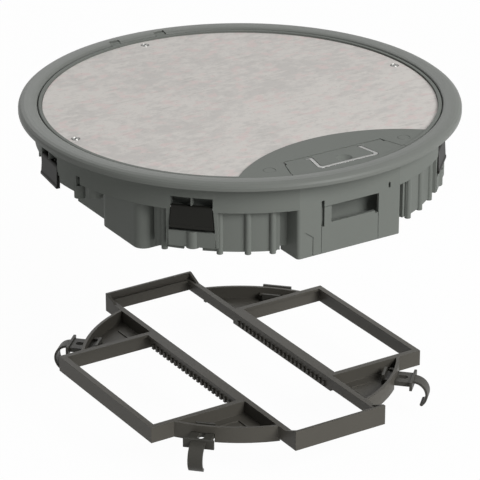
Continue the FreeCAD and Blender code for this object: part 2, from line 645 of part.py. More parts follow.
def flap_pad():
    """Foam pad under the flap that closes round the cables."""
    inset = FLAP_GAP + FLAP_BARREL_RADIUS * 2 + FLAP_SKIRT_WALL + INLAY_PLAY
    return flap_notch(inset, LID_WALL_RADIUS - FLAP_SKIRT_WALL - INLAY_PLAY,
                      FLAP_UNDER_Z - FLAP_SKIRT_DEPTH + INLAY_PLAY, FLAP_UNDER_Z)


# ---------------------------------------------------------------------------------------------- cassette

def between_flats(shape, face):
    """The part of a shape between the two flat tower faces."""
    reach = FLANGE_RADIUS
    return shape.common(box(-reach, reach, -face, face, -TOWER_DEPTH - 10, 10))


def skirt():
    """Round upper wall, flat at the towers, and the shelf that the lower walls hang from."""
    outer = between_flats(disc(BODY_RADIUS, -SKIRT_DEPTH, -COLLAR_DEPTH), TOWER_FACE)
    inner = between_flats(disc(BODY_RADIUS - WALL, SHELF_Z, -COLLAR_DEPTH + 1), TOWER_FACE - WALL)
    opening = disc(SHELF_INNER, -SKIRT_DEPTH - 1, SHELF_Z + 1).common(
        box(-SIDE_INNER, SIDE_INNER, -TOWER_FACE, TOWER_FACE, -SKIRT_DEPTH - 1, SHELF_Z + 1))
    return outer.cut([inner, opening])


def end_tower():
    """Deep flat-faced tower at the outlet end, open to the inside."""
    y1 = -TOWER_FACE + TOWER_RETURN
    outer = box(-TOWER_HALF_WIDTH, TOWER_HALF_WIDTH, -TOWER_FACE, y1, -TOWER_DEPTH, -SKIRT_DEPTH + 0.5)
    outer = upright_rounded(outer, TOWER_CORNER, lambda p: p.y < -TOWER_FACE + 1)
    room = box(-TOWER_HALF_WIDTH + WALL, TOWER_HALF_WIDTH - WALL, -TOWER_FACE + WALL, y1 + 1,
               -TOWER_DEPTH - 1, 0)
    return outer.cut(room)


def side_bay():
    """Deep flat-faced bay at the left for the side frame: flush at the front, then set back and shallower."""
    x1 = -SIDE_FACE + SIDE_RETURN
    x_set, y1 = -SIDE_FACE + SIDE_SETBACK, SIDE_HALF_WIDTH
    top = -SKIRT_DEPTH + 0.5
    front = box(-SIDE_FACE, x1, -y1, SIDE_STEP_Y, -SIDE_DEPTH, top)
    front = upright_rounded(front, SIDE_CORNER, lambda p: p.x < -SIDE_FACE + 1 and p.y < 0)
    rear = box(x_set, x1, SIDE_STEP_Y - WALL, y1, -SIDE_DEPTH, top)
    rear = upright_rounded(rear, SIDE_CORNER, lambda p: p.x < x_set + 1 and p.y > 0)
    front_room = box(-SIDE_FACE + WALL, x1 + 1, WALL - y1, SIDE_STEP_Y - WALL, -SIDE_DEPTH - 1, 0)
    front_room = upright_rounded(front_room, SIDE_CORNER - WALL, lambda p: p.x < x_set and p.y < WALL - y1 + 1)
    rear_room = box(x_set + WALL, x1 + 1, SIDE_STEP_Y - WALL - 1, y1 - WALL, -SIDE_DEPTH - 1, 0)
    rear_room = upright_rounded(rear_room, SIDE_CORNER - WALL, lambda p: p.x < x_set + WALL + 1 and p.y > 0)
    shallow = box(x_set - 1, x1 + 1, SIDE_SHALLOW_Y, y1 + 1, -SIDE_DEPTH - 1, -SIDE_REAR_DEPTH)
    return front.fuse(rear).cut([front_room, rear_room, shallow])


def side_block():
    """Block, boss and knob under the skirt at the left, beside the side claw."""
    start, end = SIDE_BLOCK_ANGLES
    top = -SKIRT_DEPTH + 0.5
    block = ring(BODY_RADIUS, BODY_RADIUS - 2 * WALL, -SIDE_BLOCK_DEPTH, top).common(
        wedge(start, end, BODY_RADIUS, -SIDE_BLOCK_DEPTH, top))
    pieces = [block]
    for angle, centre, radius, depth in (SIDE_BOSS, SIDE_KNOB):
        pieces.append(turned(disc(radius, -depth, top, centre, 0), angle))
    return pieces


def side_slot():
    """Slot in the skirt above the boss."""
    angle, half, top, bottom = SIDE_SLOT
    return turned(box(BODY_RADIUS - 2 * WALL, BODY_RADIUS + 2, -half, half, -bottom, -top), angle)


def baffle():
    """Wall behind the cable window, hung from a shelf, inside the frame's middle opening."""
    half = BAFFLE_HALF_WIDTH
    roof = box(-half, half, -TOWER_FACE + WALL / 2, BAFFLE_Y, -SKIRT_DEPTH, SHELF_Z)
    wall = box(-half, half, BAFFLE_Y - BAFFLE_WALL, BAFFLE_Y, -BAFFLE_DEPTH, SHELF_Z)
    return [roof, wall]


def ribbed_wall():
    """Ribbed wall between the front tower and the left bay."""
    start = 270 - ARC_GAP_ANGLE - ARC_SPAN
    wall = ring(ARC_RADIUS, ARC_RADIUS - WALL, -ARC_DEPTH, -SKIRT_DEPTH + 0.5).common(
        wedge(start, start + ARC_SPAN, ARC_RADIUS, -ARC_DEPTH, -SKIRT_DEPTH + 0.5))
    ribs = []
    for angle in RIB_ANGLES + (POST_ANGLE,):
        turn = math.radians(270 - angle)
        ribs.append(disc(RIB_RADIUS, -ARC_DEPTH - RIB_OVERHANG, -SKIRT_DEPTH + 0.5,
                         ARC_RADIUS * math.cos(turn), ARC_RADIUS * math.sin(turn)))
    return [wall] + ribs


def recess_walls():
    """Set-back walls that close the gaps beside the front tower and the left bay."""
    walls = []
    for near, far in (TOWER_RECESS, BAY_RECESS):
        walls.append(ring(RECESS_RADIUS, RECESS_RADIUS - WALL, -ARC_DEPTH, -SKIRT_DEPTH + 0.5).common(
            wedge(270 - far, 270 - near, RECESS_RADIUS, -ARC_DEPTH, -SKIRT_DEPTH + 0.5)))
    for end, side in ((ARC_GAP_ANGLE, -1), (ARC_GAP_ANGLE + ARC_SPAN, 1)):
        web = box(RECESS_RADIUS - WALL, ARC_RADIUS - WALL / 2, min(0, -side * WALL), max(0, -side * WALL),
                  -ARC_DEPTH, -SKIRT_DEPTH + 0.5)
        walls.append(turned(web, 270 - end))
    return walls


def seat_ribs():
    """Ribs in the tower corners that the mounting frame's ends stop against."""
    x1, y0 = TOWER_HALF_WIDTH - WALL / 2, -TOWER_FACE + WALL / 2
    return box(x1 - SEAT_RIB_LENGTH, x1, y0, y0 + SEAT_RIB_REACH, -FRAME_SEAT, SHELF_Z)


def latch_block():
    """Block on the ribbed wall with a half-round middle, hollow at the back for a latch's leaf, at angle 0."""
    half = CLAW_WIDTH / 2 + CLAW_BAY_PLAY + 0.5
    body = box(ARC_RADIUS - WALL, ARC_RADIUS + CLAW_BLOCK_OUT, -half, half, -CLAW_BLOCK_BOTTOM, -CLAW_BLOCK_TOP)
    middle = disc(BLOCK_ROUND_RADIUS, -CLAW_BLOCK_BOTTOM - 1, -CLAW_BLOCK_TOP, BLOCK_ROUND_CENTRE, 0)
    return body.fuse(middle)


def latch_pocket():
    """Room for a latch's leaf when the frame is seated, at angle 0."""
    half = LATCH_LEAF_WIDTH / 2 + LATCH_POCKET_PLAY
    reach = LATCH_PLATE_RADIUS + LATCH_PLATE_THICKNESS + LATCH_LEAF_RADIUS + LATCH_POCKET_PLAY
    return box(ARC_RADIUS - WALL - 3, reach, -half, half, -TOWER_DEPTH, -CLAW_BLOCK_TOP - 1)


def claw_outline(extra, z0, z1):
    """A claw's outline seen from outside, wider by the extra: upright, then widening below the claw's top."""
    slope = (CLAW_WIDTH - CLAW_TOP_WIDTH) / 2 / (CLAW_TOP_Z - CLAW_FOOT_Z)
    top_half = CLAW_TOP_WIDTH / 2 + extra
    low_half = top_half + slope * (CLAW_TOP_Z - z0)
    right = [(top_half, z1), (top_half, CLAW_TOP_Z), (low_half, z0)]
    return right + [(-y, z) for y, z in reversed(right)]


def claw_bay():
    """Bay in the skirt for a claw, deep above the shelf and shallower below it, at angle 0."""
    low, top, reach = -SKIRT_DEPTH - 1, -CLAW_BAY_TOP, BODY_RADIUS + 5
    deep = face_profile(claw_outline(CLAW_BAY_PLAY, SHELF_Z, top), BAY_BACK_RADIUS, reach)
    return [deep, face_profile(claw_outline(CLAW_BAY_PLAY, low, top), ARC_RADIUS, reach)]


def bay_back():
    """Wall behind a claw bay and the post in the bay's middle, at angle 0."""
    half = CLAW_WIDTH / 2 + CLAW_BAY_PLAY + CLAW_CHEEK
    z0, z1 = SHELF_Z - 0.5, -COLLAR_DEPTH
    inner = BAY_BACK_RADIUS - BAY_BACK_WALL
    spread = math.degrees(math.asin(half / BAY_BACK_RADIUS))
    wall = ring(BAY_BACK_RADIUS, inner, z0, z1).common(wedge(-spread, spread, BAY_BACK_RADIUS, z0, z1))
    post = box(inner, BODY_RADIUS - CHEEK_INSET, -BAY_POST / 2, BAY_POST / 2, CLAW_TOP_Z + BAY_POST_GAP,
               0.5 - CLAW_BAY_TOP)
    return [wall, post]


def claw_cheeks(name):
    """Cheeks at both sides of a claw bay that hold its pin; the front ones reach down to the latch block."""
    depth = CLAW_BLOCK_BOTTOM if name.startswith("front") else SIDE_CHEEK_DEPTH
    outline = claw_outline(CLAW_BAY_PLAY, -depth, -COLLAR_DEPTH)
    outer_half = CLAW_WIDTH / 2 + CLAW_BAY_PLAY + CLAW_CHEEK
    cheek = [(outer_half, -COLLAR_DEPTH)] + outline[:3] + [(outer_half, -depth)]
    upper = face_profile(cheek, BAY_BACK_RADIUS - 0.5, BODY_RADIUS)
    upper = upper.common(box(0, BODY_RADIUS, 0, outer_half, SHELF_Z, 0))
    lower = face_profile(cheek, ARC_RADIUS - 1, BODY_RADIUS).common(box(0, BODY_RADIUS, 0, outer_half, -depth, 0))
    both = upper.fuse(lower).common(disc(BODY_RADIUS - CHEEK_INSET, -depth, 0))
    return [both, mirrored_y(both)]


def claw_pin():
    half = CLAW_TOP_WIDTH / 2 + CLAW_BAY_PLAY + CLAW_CHEEK - 0.4
    return Part.makeCylinder(CLAW_PIN_RADIUS, 2 * half, V(CLAW_HINGE_RADIUS, -half, -CLAW_HINGE_DEPTH),
                             V(0, 1, 0))


def wall_radius(name):
    """Radius at which a claw's screw goes through the cassette's wall."""
    if name.startswith("front"):
        return ARC_RADIUS
    return (SIDE_FACE - SIDE_SETBACK) / math.cos(math.radians(CLAW_ANGLES["side_right"]))


def screw_boss(name):
    """Boss for a claw's screw, hung from the shelf, at angle 0."""
    outer = ARC_RADIUS if name.startswith("front") else ARC_RADIUS - 2
    inner = wall_radius(name) - CLAW_BOSS_LENGTH
    half = CLAW_BOSS_RADIUS
    bottom = -CLAW_SCREW_DEPTH
    block = box(inner, outer, -half, half, bottom, -SKIRT_DEPTH + 0.5)
    tube = Part.makeCylinder(half, outer - inner, V(inner, 0, bottom), V(1, 0, 0))
    return block.fuse(tube)


def screw_bore(name):
    inner = wall_radius(name) - CLAW_BOSS_LENGTH - 3
    return Part.makeCylinder(CLAW_SCREW_RADIUS + HINGE_PLAY, 30, V(inner, 0, -CLAW_SCREW_DEPTH), V(1, 0, 0))


def panel_opening():
    """Opening in the front tower for the outlet panel, with the slot beside it, and the fine step."""
    y0, y1 = -TOWER_FACE - 1, -TOWER_FACE + WALL + 1
    slot = box(PANEL_LEFT, PANEL_LEFT + PANEL_SLOT_WIDTH, y0, y1, -WINDOW_TOP - 1, -PANEL_SLOT_TOP)
    opening = box(PANEL_LEFT, PANEL_RIGHT, y0, y1, -TOWER_DEPTH - 1, -WINDOW_TOP)
    x, w = TOWER_LINE_X, TOWER_LINE_WIDTH
    across, up = TOWER_LINE_RISE
    step = front_profile([(x, -TOWER_DEPTH - 1), (x, -TOWER_LINE_TOP), (x - across, up - TOWER_LINE_TOP),
                          (x - across, up - TOWER_LINE_TOP + w), (x + w, w - TOWER_LINE_TOP),
                          (x + w, -TOWER_DEPTH - 1)], y0, w - TOWER_FACE)
    return [slot, opening, step]


def tower_hole():
    """Small upright oval hole beside the outlet panel."""
    y0, y1 = -TOWER_FACE - 1, -TOWER_FACE + WALL + 1
    rise = TOWER_HOLE_HEIGHT / 2 - TOWER_HOLE_RADIUS
    x, r, z = TOWER_HOLE_X, TOWER_HOLE_RADIUS, -TOWER_HOLE_DEPTH
    ends = [rod_y(r, y0, y1, x, z + side) for side in (-rise, rise)]
    return union(ends + [box(x - r, x + r, y0, y1, z - rise, z + rise)])


def cassette():
    """Moulded box under the flange: skirt, shelf, towers, bays, ribbed walls and claw bays."""
    tower, bay = end_tower(), side_bay()
    pieces = [skirt(), tower, mirrored_y(tower)] + both_sides(bay) + four_ways(seat_ribs()) + baffle()
    pieces += [p for piece in side_block() for p in both_sides(piece)]
    for piece in ribbed_wall() + recess_walls():
        pieces += four_ways(piece)
    cuts = panel_opening() + [tower_hole()] + both_sides(side_slot())
    for angle in LATCH_ANGLES.values():
        pieces.append(turned(latch_block(), angle))
        cuts.append(turned(latch_pocket(), angle))
    for name, angle in CLAW_ANGLES.items():
        pieces.append(turned(screw_boss(name), angle))
        cuts += [turned(c, angle) for c in claw_bay() + [screw_bore(name)]]
    body = minus(union(pieces), cuts)
    supports = [turned(s, angle) for name, angle in CLAW_ANGLES.items() for s in claw_cheeks(name) + bay_back()]
    pins = [turned(claw_pin(), angle) for angle in CLAW_ANGLES.values()]
    return minus(union([body] + supports), pins)


def outlet_panel():
    """Panel that closes the front tower below and beside the cable window."""
    y0, y1 = -TOWER_FACE, -TOWER_FACE + WALL
    bottom, right = -TOWER_DEPTH, PANEL_RIGHT - PANEL_PLAY
    plate = box(PANEL_LEFT + PANEL_PLAY, right, y0, y1, bottom, -WINDOW_TOP - PANEL_PLAY)
    flange = box(PANEL_LEFT - PANEL_FLANGE_REACH, PANEL_RIGHT + PANEL_FLANGE_REACH, y1 + 0.1,
                 y1 + 0.1 + PANEL_FLANGE, bottom, -PANEL_SLOT_BOTTOM - PANEL_NOTCH[1])
    bridge = box(PANEL_LEFT + 2 * PANEL_PLAY, right - PANEL_PLAY, y1 - 0.5, y1 + 0.5, bottom,
                 -PANEL_SLOT_BOTTOM - PANEL_NOTCH[1])
    slot = box(PANEL_LEFT - 1, PANEL_LEFT + PANEL_SLOT_WIDTH, y0 - 1, y1 + 1, -PANEL_SLOT_BOTTOM, 0)
    window = box(WINDOW_LEFT, PANEL_RIGHT, y0 - 1, y1 + 1, -WINDOW_BOTTOM, 0)
    notch = box(right - PANEL_NOTCH[0], PANEL_RIGHT, y0 - 1, y1 + 1, -WINDOW_BOTTOM - PANEL_NOTCH[1], 0)
    return minus(union([plate, flange, bridge]), [slot, window, notch])


# ------------------------------------------------------------------------------------------------- claws

def claw():
    """Clamping claw at angle 0: a barrel on the pin and a plate that widens to a lip at its lower edge."""
    half = CLAW_WIDTH / 2
    r, z = CLAW_HINGE_RADIUS, -CLAW_HINGE_DEPTH
    t = CLAW_THICKNESS
    top, foot = r + CLAW_BARREL_RADIUS, r + CLAW_BARREL_RADIUS + CLAW_FLARE
    lip_z = CLAW_FOOT_Z + CLAW_LIP_HEIGHT
    plate = radial_profile([(top - t, z), (top, z), (foot, lip_z + CLAW_LIP), (foot + CLAW_LIP, lip_z),
                            (foot + CLAW_LIP, CLAW_FOOT_Z), (foot - t, CLAW_FOOT_Z)], half)
    barrel = Part.makeCylinder(CLAW_BARREL_RADIUS, 2 * half, V(r, -half, z), V(0, 1, 0))
    bore = Part.makeCylinder(CLAW_PIN_RADIUS + HINGE_PLAY, 2 * half + 2, V(r, -half - 1, z), V(0, 1, 0))
    outline = face_profile(claw_outline(0, CLAW_FOOT_Z - 1, CLAW_TOP_Z + 1), r - 10, r + 10)
    return minus(union([plate, barrel]).common(outline), [bore])


def claw_screw(name):
    """Screw that drives a claw out from inside the cassette, at angle 0."""
    head_x = wall_radius(name) - CLAW_BOSS_LENGTH - CLAW_SCREW_TRAVEL - 0.4
    drop = CLAW_SCREW_DEPTH - CLAW_HINGE_DEPTH
    tip_x = CLAW_HINGE_RADIUS + CLAW_BARREL_RADIUS - CLAW_THICKNESS + CLAW_FLARE * drop / CLAW_REACH
    tip_x -= CLAW_SCREW_GAP
    axis_z = -CLAW_SCREW_DEPTH
    head = Part.makeCylinder(CLAW_SCREW_HEAD_RADIUS, CLAW_SCREW_HEAD_HEIGHT,
                             V(head_x - CLAW_SCREW_HEAD_HEIGHT, 0, axis_z), V(1, 0, 0))
    slot = box(head_x - CLAW_SCREW_HEAD_HEIGHT - 1, head_x - CLAW_SCREW_HEAD_HEIGHT + 1.1, -0.5, 0.5,
               axis_z - 5, axis_z + 5)
    cross = box(head_x - CLAW_SCREW_HEAD_HEIGHT - 1, head_x - CLAW_SCREW_HEAD_HEIGHT + 1.1, -5, 5,
                axis_z - 0.5, axis_z + 0.5)
    shank = Part.makeCylinder(CLAW_SCREW_RADIUS, tip_x - CLAW_SCREW_TIP - head_x, V(head_x, 0, axis_z),
                              V(1, 0, 0))
    tip = Part.makeCone(CLAW_SCREW_RADIUS, CLAW_SCREW_RADIUS / 2, CLAW_SCREW_TIP,
                        V(tip_x - CLAW_SCREW_TIP, 0, axis_z), V(1, 0, 0))
    recess_ring = disc(2.6, -5, 5)
    recess_ring.rotate(ORIGIN, V(0, 1, 0), 90)
    recess_ring.translate(V(head_x - CLAW_SCREW_HEAD_HEIGHT, 0, axis_z))
    return union([head.cut(slot.fuse(cross).common(recess_ring)), shank, tip])


def claw_pins():
    return [turned(claw_pin(), angle) for angle in CLAW_ANGLES.values()]


# ----------------------------------------------------------------------------------------- mounting frame

def rect(x0, x1, half_y, z0, z1):
    """A plate between two X values, symmetric in Y, below the frame's top plane."""
    return box(x0, x1, -half_y, half_y, FRAME_TOP + z0, FRAME_TOP + z1)


def rim_and_web(x0, x1, half_y, depth):
    """A rectangular carrier opening's wall: a rim on top and a thinner web below it."""
    outer = rect(x0, x1, half_y, -depth, 0)
    rim_hole = rect(x0 + FRAME_FLANGE, x1 - FRAME_FLANGE, half_y - FRAME_FLANGE, -depth - 1, 1)
    web_hole = rect(x0 + FRAME_WEB, x1 - FRAME_WEB, half_y - FRAME_WEB, -depth - 1, -FRAME_FLANGE_THICKNESS)
    return outer, rim_hole, web_hole


def raised_end():
    """End wall that stands above the rim, with a slope down along the long walls, at the outlet end."""
    y0 = -FRAME_HALF_LENGTH
    wall = box(-FRAME_HALF_WIDTH, FRAME_HALF_WIDTH, y0, y0 + FRAME_WEB, FRAME_TOP - 1, END_TOP)
    profile = [V(0, y0, FRAME_TOP - 1), V(0, y0, END_TOP), V(0, y0 + FRAME_WEB, END_TOP),
               V(0, y0 + END_SLOPE_LENGTH, FRAME_TOP), V(0, y0 + END_SLOPE_LENGTH, FRAME_TOP - 1)]
    cheek = Part.Face(Part.makePolygon(profile + profile[:1])).extrude(V(FRAME_WEB, 0, 0))
    left, right = cheek.copy(), cheek.copy()
    left.translate(V(-FRAME_HALF_WIDTH, 0, 0))
    right.translate(V(FRAME_HALF_WIDTH - FRAME_WEB, 0, 0))
    return [wall, left, right]


def tooth():
    """One locking tooth on the lower edge of a long wall, at y = 0: a sawtooth on both faces of the wall."""
    x0 = FRAME_HALF_WIDTH - FRAME_WEB - TOOTH_REACH
    x1 = FRAME_HALF_WIDTH + TOOTH_REACH + FRAME_WEB - 0.8
    z0 = FRAME_TOP - FRAME_DEPTH - TOOTH_DROP
    half = TOOTH_LENGTH / 2
    profile = [V(x0, -half, z0), V(x0, half, z0), V(x0, half * 0.3, z0 + TOOTH_HEIGHT),
               V(x0, -half, z0 + TOOTH_HEIGHT)]
    return Part.Face(Part.makePolygon(profile + profile[:1])).extrude(V(x1 - x0, 0, 0))


def toothed_web():
    """Thicker web between the middle opening and a side opening, with its row of teeth."""
    web = rect(FRAME_HALF_WIDTH - FRAME_WEB, FRAME_HALF_WIDTH + FRAME_WEB - 0.8, SIDE_FRAME_HALF_LENGTH,
               -FRAME_DEPTH, -0.5)
    pieces = [web]
    for i in range(TOOTH_COUNT):
        one = tooth()
        one.translate(V(0, (i - (TOOTH_COUNT - 1) / 2) * TOOTH_PITCH, 0))
        pieces.append(one)
    return pieces


def corner_pocket():
    """Corner pocket at +X -Y: its floor with a raised rib line and the curved wall outside it."""
    z_floor = FRAME_TOP - POCKET_FLOOR_DEPTH
    x0, y0 = FRAME_HALF_WIDTH - FRAME_WEB / 2, SIDE_FRAME_HALF_LENGTH - FRAME_WEB / 2
    quadrant = box(x0, FRAME_ARC_RADIUS, -FRAME_ARC_RADIUS, -y0, FRAME_TOP - SIDE_FRAME_DEPTH, FRAME_TOP)
    wall = ring(FRAME_ARC_RADIUS, FRAME_ARC_RADIUS - FRAME_ARC_WALL, FRAME_TOP - SIDE_FRAME_DEPTH,
                FRAME_TOP).common(quadrant)
    floor = disc(FRAME_ARC_RADIUS - 1, z_floor - POCKET_FLOOR, z_floor).common(quadrant)
    rib_x, rib_y = FRAME_HALF_WIDTH + 10.0, SIDE_FRAME_HALF_LENGTH + 8.0
    leg_x = box(rib_x, rib_x + 18.0, -rib_y - 1.2, -rib_y, z_floor - 0.5, z_floor + POCKET_RIB)
    leg_y = box(rib_x, rib_x + 1.2, -rib_y - 22.0, -rib_y, z_floor - 0.5, z_floor + POCKET_RIB)
    return [wall, floor, leg_x, leg_y]


def slider_gap(angle):
    """Gap in a curved wall for a latch's slider."""
    half = LATCH_SLIDER_WIDTH / 2 + LATCH_SLIDER_PLAY
    top = FRAME_TOP - LATCH_SLIDER_TOP + LATCH_SLIDER_PLAY
    gap = box(FRAME_ARC_RADIUS - FRAME_ARC_WALL - 1.5, FRAME_ARC_RADIUS + 2, -half, half,
              FRAME_TOP - SIDE_FRAME_DEPTH - 1, top)
    return turned(gap, angle)


def latch_guides():
    """Rails with lips that hold a latch's slider down in its pocket, at angle 0."""
    inner = LATCH_SLIDER_WIDTH / 2 + LATCH_SLIDER_PLAY
    lip_z = FRAME_TOP - LATCH_SLIDER_TOP + LATCH_SLIDER_PLAY
    r0, r1 = LATCH_TAB_RADIUS + 1.2, FRAME_ARC_RADIUS - FRAME_ARC_WALL / 2
    z0 = FRAME_TOP - POCKET_FLOOR_DEPTH - POCKET_FLOOR / 2
    rail = box(r0, r1, inner, inner + LATCH_RAIL, z0, lip_z + LATCH_LIP)
    lip = box(r0, r1, inner - LATCH_LIP, inner + LATCH_RAIL / 2, lip_z, lip_z + LATCH_LIP)
    return [rail, lip, mirrored_y(rail), mirrored_y(lip)]


def mounting_frame():
    """Frame that holds the device carriers: three openings, four corner pockets and two toothed webs."""
    middle, middle_rim, middle_web = rim_and_web(-FRAME_HALF_WIDTH, FRAME_HALF_WIDTH, FRAME_HALF_LENGTH,
                                                 FRAME_DEPTH)
    side, side_rim, side_web = rim_and_web(FRAME_HALF_WIDTH - FRAME_WEB, SIDE_FRAME_EDGE,
                                           SIDE_FRAME_HALF_LENGTH, SIDE_FRAME_DEPTH)
    side_rim = rect(FRAME_HALF_WIDTH + FRAME_FLANGE, SIDE_FRAME_EDGE - FRAME_FLANGE,
                    SIDE_FRAME_HALF_LENGTH - FRAME_FLANGE, -SIDE_FRAME_DEPTH - 1, 1)
    pocket_pieces = [p for piece in corner_pocket() for p in four_ways(piece)]
    body = union([middle] + both_sides(side) + pocket_pieces)
    body = minus(body, [middle_rim, middle_web] + both_sides(side_rim) + both_sides(side_web))
    ends = raised_end()
    body = union([body] + ends + [mirrored_y(e) for e in ends]
                 + [p for piece in toothed_web() for p in both_sides(piece)])
    body = minus(body, [slider_gap(angle) for angle in LATCH_ANGLES.values()])
    return union([body] + [turned(g, angle) for angle in LATCH_ANGLES.values() for g in latch_guides()])


def latch():
    """Latch of the mounting frame, at angle 0: thumb tab, slotted slider, cross plate and curled leaf."""
    top = FRAME_TOP - LATCH_SLIDER_TOP
    bottom = top - LATCH_SLIDER_THICKNESS
    half = LATCH_SLIDER_WIDTH / 2
    r0, r1 = LATCH_TAB_RADIUS, LATCH_PLATE_RADIUS
    slider = box(r0, r1 + 0.5, -half, half, bottom, top)
    slot_half = LATCH_SLOT_WIDTH / 2
    slot = upright_rounded(box(r0 + 8, r1 - 3, -slot_half, slot_half, bottom - 1, top + 1), slot_half - 0.1)
    tab = box(r0 - 2, r0, -LATCH_TAB_WIDTH / 2, LATCH_TAB_WIDTH / 2, bottom, top + LATCH_TAB_RISE)
    plate_top = FRAME_TOP - 4.4
    plate_half = LATCH_PLATE_WIDTH / 2
    plate = box(r1, r1 + LATCH_PLATE_THICKNESS, -plate_half, plate_half, plate_top - LATCH_PLATE_HEIGHT,
                plate_top)
    leaf = spring_leaf(r1 + LATCH_PLATE_THICKNESS - 0.3, top)
    return union([slider.cut(slot), tab, plate, leaf])


def spring_leaf(start_r, top):
    """Leaf that curls out and down from the cross plate to a bead at its tip."""
    outer, inner = LATCH_LEAF_RADIUS, LATCH_LEAF_RADIUS - LATCH_LEAF_THICKNESS
    centre_z = top - outer
    half = LATCH_LEAF_WIDTH / 2

    def at(radius, degrees):
        turn = math.radians(90 - degrees)
        return start_r + radius * math.cos(turn), centre_z + radius * math.sin(turn)

    end = LATCH_LEAF_ANGLE
    edges = [arc(at(outer, 0), at(outer, end / 2), at(outer, end)), line(at(outer, end), at(inner, end)),
             arc(at(inner, end), at(inner, end / 2), at(inner, 0)), line(at(inner, 0), at(outer, 0))]
    strip = Part.Face(Part.Wire(edges)).extrude(V(0, 2 * half, 0))
    strip.translate(V(0, -half, 0))
    bead_r, bead_z = at((outer + inner) / 2 - 0.3, end)
    bead_rod = Part.makeCylinder(LATCH_BEAD_RADIUS, 2 * half, V(bead_r, -half, bead_z), V(0, 1, 0))
    return strip.fuse(bead_rod)


# ------------------------------------------------------------------------------------------------- output

def nodes():
    """Every node of the part, with its solids."""
    made = {
        "flange_ring": [flange_ring()],
        "cassette": [cassette()],
        "outlet_panel": [outlet_panel()],
        "lid_seal": [lid_seal()],
        "lid_hinge_pins": hinge_pins(),
        "claw_pins": claw_pins(),
        "lid_tray": [lid_tray()],
        "lid_plate": [lid_plate()],
        "lid_inlay": [lid_inlay()],
        "lid_screws": lid_screws(),
        "outlet_plugs": outlet_plugs(),
        "flap_pins": flap_pins(),
        "outlet_flap": [outlet_flap()],
        "flap_pad": [flap_pad()],
        "bail_handle": [bail_handle()],
        "mounting_frame": [mounting_frame()],
    }
    for name, angle in CLAW_ANGLES.items():
        made["claw_" + name] = [turned(claw(), angle)]
        made["claw_screw_" + name] = [turned(claw_screw(name), angle)]
    for name, angle in LATCH_ANGLES.items():
        made["latch_" + name] = [turned(latch(), angle)]
    return made


def main():
    os.makedirs("parts", exist_ok=True)
    for name, solids in nodes().items():
        shape = solids[0] if len(solids) == 1 else Part.makeCompound(solids)
        shape.exportStep(os.path.join("parts", name + ".step"))
        print(name, len(shape.Solids), "valid" if shape.isValid() else "INVALID", round(shape.Volume / 1000, 2))


main()
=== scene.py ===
"""Looks of the round floor socket box: finishes for its moulded, steel and laid pieces, and a pale studio."""

import json
import logging
import math
from dataclasses import dataclass
from enum import Enum
from typing import Any, Optional, Sequence, Union

import bmesh
import bpy
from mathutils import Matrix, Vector


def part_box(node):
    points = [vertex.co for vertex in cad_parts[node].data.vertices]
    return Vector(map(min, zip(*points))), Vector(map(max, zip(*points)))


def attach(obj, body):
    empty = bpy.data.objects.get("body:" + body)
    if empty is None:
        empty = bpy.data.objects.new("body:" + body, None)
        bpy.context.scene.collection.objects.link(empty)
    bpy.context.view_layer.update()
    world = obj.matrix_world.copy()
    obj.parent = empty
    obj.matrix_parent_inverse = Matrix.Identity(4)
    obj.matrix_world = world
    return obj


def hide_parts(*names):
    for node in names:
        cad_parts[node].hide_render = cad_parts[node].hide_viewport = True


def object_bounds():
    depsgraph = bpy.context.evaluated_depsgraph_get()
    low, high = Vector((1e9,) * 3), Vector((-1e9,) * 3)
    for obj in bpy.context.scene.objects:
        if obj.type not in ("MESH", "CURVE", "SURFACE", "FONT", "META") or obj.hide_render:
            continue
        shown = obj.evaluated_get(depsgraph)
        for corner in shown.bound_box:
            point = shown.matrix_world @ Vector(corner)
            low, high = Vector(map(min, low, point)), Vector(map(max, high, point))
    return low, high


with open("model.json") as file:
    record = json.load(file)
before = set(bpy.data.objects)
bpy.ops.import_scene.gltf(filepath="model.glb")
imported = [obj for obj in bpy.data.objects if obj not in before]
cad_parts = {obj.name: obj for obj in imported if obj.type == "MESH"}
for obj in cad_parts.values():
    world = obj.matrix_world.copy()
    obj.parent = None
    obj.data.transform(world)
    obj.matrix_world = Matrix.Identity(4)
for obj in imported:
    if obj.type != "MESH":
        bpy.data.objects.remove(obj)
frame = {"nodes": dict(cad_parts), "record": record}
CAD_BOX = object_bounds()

LOG = logging.getLogger("floor_box")
MM = 0.001
Colour = tuple[float, float, float]
SocketValue = Union[float, Sequence[float], "Channel"]


class Slot(Enum):
    """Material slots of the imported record."""

    HOUSING = "housing"
    FRAME = "frame"
    LATCH = "latch"
    CLAW = "claw"
    STEEL = "steel"
    PLATE = "plate"
    INLAY = "inlay"
    FOAM = "foam"


# ------------------------------------------------------------------------------------------- shader maths


